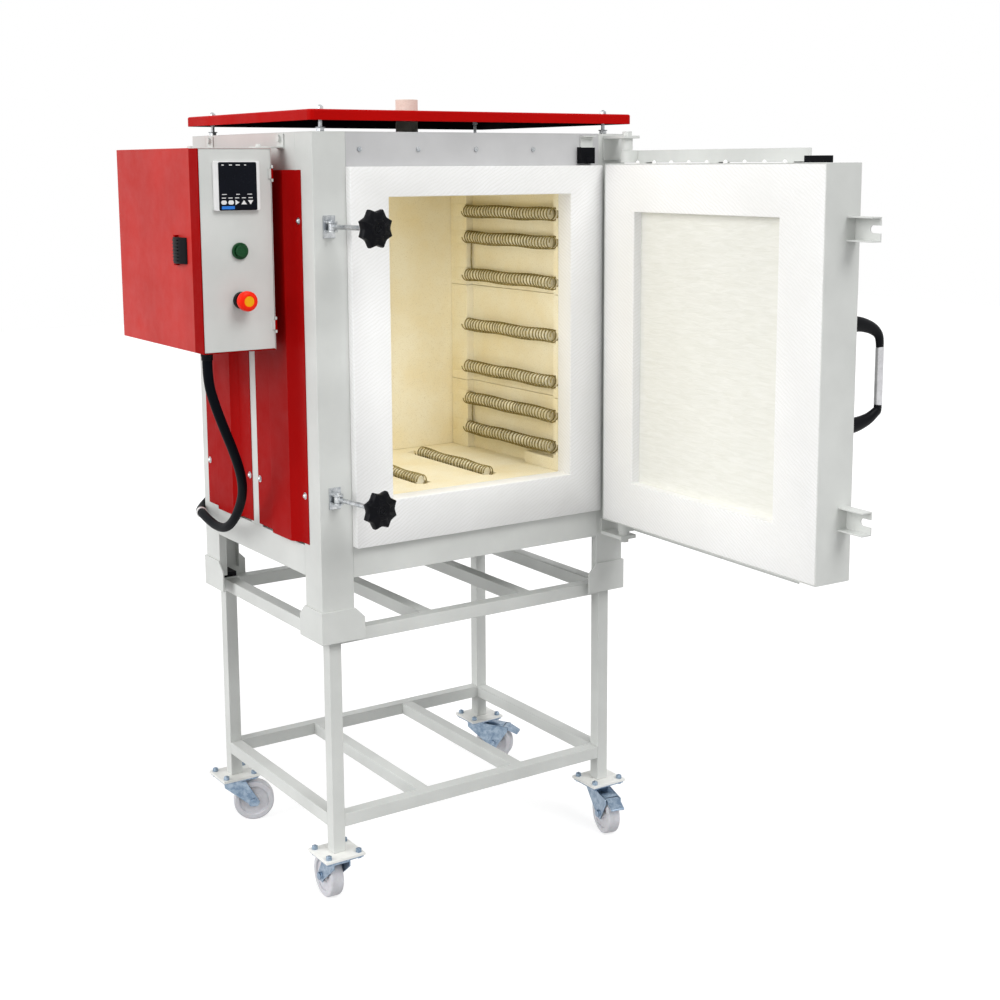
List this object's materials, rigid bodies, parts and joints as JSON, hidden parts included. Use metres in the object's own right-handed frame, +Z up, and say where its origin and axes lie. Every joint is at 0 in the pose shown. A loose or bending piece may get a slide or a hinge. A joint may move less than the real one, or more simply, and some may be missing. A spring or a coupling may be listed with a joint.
{
  "type": "front-loading ceramic kiln",
  "caption": "Front-loading electric ceramic kiln with a hinged insulated door, swing bolts, side control box and a castored tube stand, shown open.",
  "frame": {"origin": "bottom centre of the kiln's box, on the floor, with the door open as at rest", "axes": "+Z up, -Y towards the user in front of the chamber, +X to the hinge side of the door"},
  "size_m": [1.049, 1.4474, 1.686],
  "materials": {
    "grey_paint": "smooth light grey powder coat",
    "red_paint": "satin red powder coat",
    "dark_red_paint": "satin red powder coat, in shade",
    "cream_paint": "satin cream",
    "zinc": "bright zinc plating",
    "steel": "brushed",
    "brass": "turned",
    "fibre": "woven-faced ceramic fibre board",
    "brick": "soft porous insulating firebrick",
    "wool": "ceramic fibre wool",
    "element_tube": "matte fired ceramic",
    "element_wire": "oxidised resistance wire",
    "black_rubber": "matte",
    "black_plastic": "moulded",
    "black_gloss": "gloss front",
    "green_plastic": "moulded",
    "red_plastic": "moulded",
    "white_nylon": "moulded nylon",
    "grey_hose": "ribbed conduit"
  },
  "bodies": {
    "kiln": {"backup_insulation": "wool", "body_feet": "black_rubber", "body_rails": "grey_paint", "box_cover": "red_paint", "box_electrics": "steel", "box_frame": "dark_red_paint", "box_hangers": "grey_paint", "castor_plates": "zinc", "conduit_hose": "grey_hose", "corner_posts": "grey_paint", "corner_sockets": "grey_paint", "door_switch": "black_plastic", "element_tubes": "element_tube", "fasteners": "zinc", "fibre_collar": "fibre", "foot_plates": "cream_paint", "front_brackets": "grey_paint", "header_plate": "grey_paint", "heating_coils": "element_wire", "hose_glands": "black_plastic", "left_windings": "element_wire", "lining_floor": "brick", "lining_roof": "brick", "lining_walls": "brick", "rear_cover": "grey_paint", "rear_panel": "grey_paint", "roof_cover": "red_paint", "roof_studs": "zinc", "side_panels": "red_paint", "stand_legs": "grey_paint", "stand_rails": "grey_paint", "thermocouple": "element_tube", "vent_tube": "zinc"},
    "door": {"door_shell": "grey_paint", "door_fibre": "fibre", "hinge_arms": "grey_paint", "door_lugs": "grey_paint", "door_handle": "black_plastic"},
    "control_panel": {"panel_door": "grey_paint", "panel_fittings": "black_plastic", "controller": "black_gloss"},
    "start_button": {"start_button": "green_plastic"},
    "estop": {"estop_head": "red_plastic"},
    "catch": {"box_catch": "black_plastic"},
    "bolt_lower": {"eye_bolt_lower": "zinc"},
    "insert_lower": {"knob_insert_lower": "brass"},
    "knob_lower": {"star_knob_lower": "black_plastic"},
    "bolt_upper": {"eye_bolt_upper": "zinc"},
    "insert_upper": {"knob_insert_upper": "brass"},
    "knob_upper": {"star_knob_upper": "black_plastic"},
    "fork_front_left": {"castor_fork_front_left": "zinc"},
    "wheel_front_left": {"castor_wheel_front_left": "white_nylon"},
    "fork_rear_left": {"castor_fork_rear_left": "zinc"},
    "wheel_rear_left": {"castor_wheel_rear_left": "white_nylon"},
    "fork_front_right": {"castor_fork_front_right": "zinc"},
    "wheel_front_right": {"castor_wheel_front_right": "white_nylon"},
    "pedal_front_right": {"brake_pedal_front_right": "zinc"},
    "fork_rear_right": {"castor_fork_rear_right": "zinc"},
    "wheel_rear_right": {"castor_wheel_rear_right": "white_nylon"},
    "pedal_rear_right": {"brake_pedal_rear_right": "zinc"}
  },
  "joints": [
    {"name": "door_hinge", "type": "hinge", "parent": "kiln", "child": "door", "pos_m": [0.4089, -0.00746, 1.15], "axis": [0, 0, -1], "range_deg": [-22, 88.1]},
    {"name": "panel_hinge", "type": "hinge", "parent": "kiln", "child": "control_panel", "pos_m": [-0.3565, 0.15424, 1.378], "axis": [0, 0, -1], "range_deg": [-60, 0]},
    {"name": "start_press", "type": "slide", "parent": "control_panel", "child": "start_button", "axis": [0, 1, 0], "range_m": [0, 0.004], "stiffness_N_per_m": 300, "springref_m": -0.002},
    {"name": "estop_press", "type": "slide", "parent": "control_panel", "child": "estop", "axis": [0, 1, 0], "range_m": [0, 0.005]},
    {"name": "catch_flip", "type": "hinge", "parent": "kiln", "child": "catch", "pos_m": [-0.5175, 0.26724, 1.378], "axis": [0, 0, -1], "range_deg": [0, 35]},
    {"name": "bolt_swing_lower", "type": "hinge", "parent": "kiln", "child": "bolt_lower", "pos_m": [-0.2875, 0.03524, 0.882], "axis": [0, 0, -1], "range_deg": [-14, 54]},
    {"name": "knob_travel_lower", "type": "slide", "parent": "bolt_lower", "child": "insert_lower", "axis": [0.1564, -0.9877, 0], "range_m": [-0.009, 0.0045]},
    {"name": "knob_spin_lower", "type": "hinge", "parent": "insert_lower", "child": "knob_lower", "pos_m": [-0.26654, -0.09711, 0.882], "axis": [0.1564, -0.9877, 0], "range_deg": [-1800, 900]},
    {"name": "bolt_swing_upper", "type": "hinge", "parent": "kiln", "child": "bolt_upper", "pos_m": [-0.2875, 0.03524, 1.425], "axis": [0, 0, -1], "range_deg": [-14, 54]},
    {"name": "knob_travel_upper", "type": "slide", "parent": "bolt_upper", "child": "insert_upper", "axis": [0.1564, -0.9877, 0], "range_m": [-0.009, 0.0045]},
    {"name": "knob_spin_upper", "type": "hinge", "parent": "insert_upper", "child": "knob_upper", "pos_m": [-0.26654, -0.09711, 1.425], "axis": [0.1564, -0.9877, 0], "range_deg": [-1800, 900]},
    {"name": "swivel_front_left", "type": "hinge", "parent": "kiln", "child": "fork_front_left", "pos_m": [-0.2835, 0.08424, 0.1], "axis": [0, 0, 1], "continuous": true},
    {"name": "roll_front_left", "type": "hinge", "parent": "fork_front_left", "child": "wheel_front_left", "pos_m": [-0.28125, 0.12718, 0.0475], "axis": [0.9986, -0.0523, 0], "continuous": true},
    {"name": "swivel_rear_left", "type": "hinge", "parent": "kiln", "child": "fork_rear_left", "pos_m": [-0.2835, 0.59924, 0.1], "axis": [0, 0, 1], "continuous": true},
    {"name": "roll_rear_left", "type": "hinge", "parent": "fork_rear_left", "child": "wheel_rear_left", "pos_m": [-0.24392, 0.58244, 0.0475], "axis": [-0.3907, -0.9205, 0], "continuous": true},
    {"name": "swivel_front_right", "type": "hinge", "parent": "kiln", "child": "fork_front_right", "pos_m": [0.4115, 0.08424, 0.1], "axis": [0, 0, 1], "continuous": true},
    {"name": "roll_front_right", "type": "hinge", "parent": "fork_front_right", "child": "wheel_front_right", "pos_m": [0.40183, 0.04234, 0.0475], "axis": [-0.9744, 0.225, 0], "continuous": true},
    {"name": "brake_front_right", "type": "hinge", "parent": "fork_front_right", "child": "pedal_front_right", "pos_m": [0.39441, 0.01019, 0.088], "axis": [0.9744, -0.225, 0], "range_deg": [0, 8]},
    {"name": "swivel_rear_right", "type": "hinge", "parent": "kiln", "child": "fork_rear_right", "pos_m": [0.4115, 0.59924, 0.1], "axis": [0, 0, 1], "continuous": true},
    {"name": "roll_rear_right", "type": "hinge", "parent": "fork_rear_right", "child": "wheel_rear_right", "pos_m": [0.43914, 0.5663, 0.0475], "axis": [-0.766, -0.6428, 0], "continuous": true},
    {"name": "brake_rear_right", "type": "hinge", "parent": "fork_rear_right", "child": "pedal_rear_right", "pos_m": [0.46035, 0.54102, 0.088], "axis": [0.766, 0.6428, 0], "range_deg": [0, 8]}
  ],
  "couplings": [
    {"joint": "bolt_swing_lower", "follows": "door_hinge", "ratio": 0.6},
    {"joint": "knob_travel_lower", "follows": "knob_spin_lower", "m_per_rad": 0.00023873},
    {"joint": "bolt_swing_upper", "follows": "door_hinge", "ratio": 0.6},
    {"joint": "knob_travel_upper", "follows": "knob_spin_upper", "m_per_rad": 0.00023873}
  ]
}
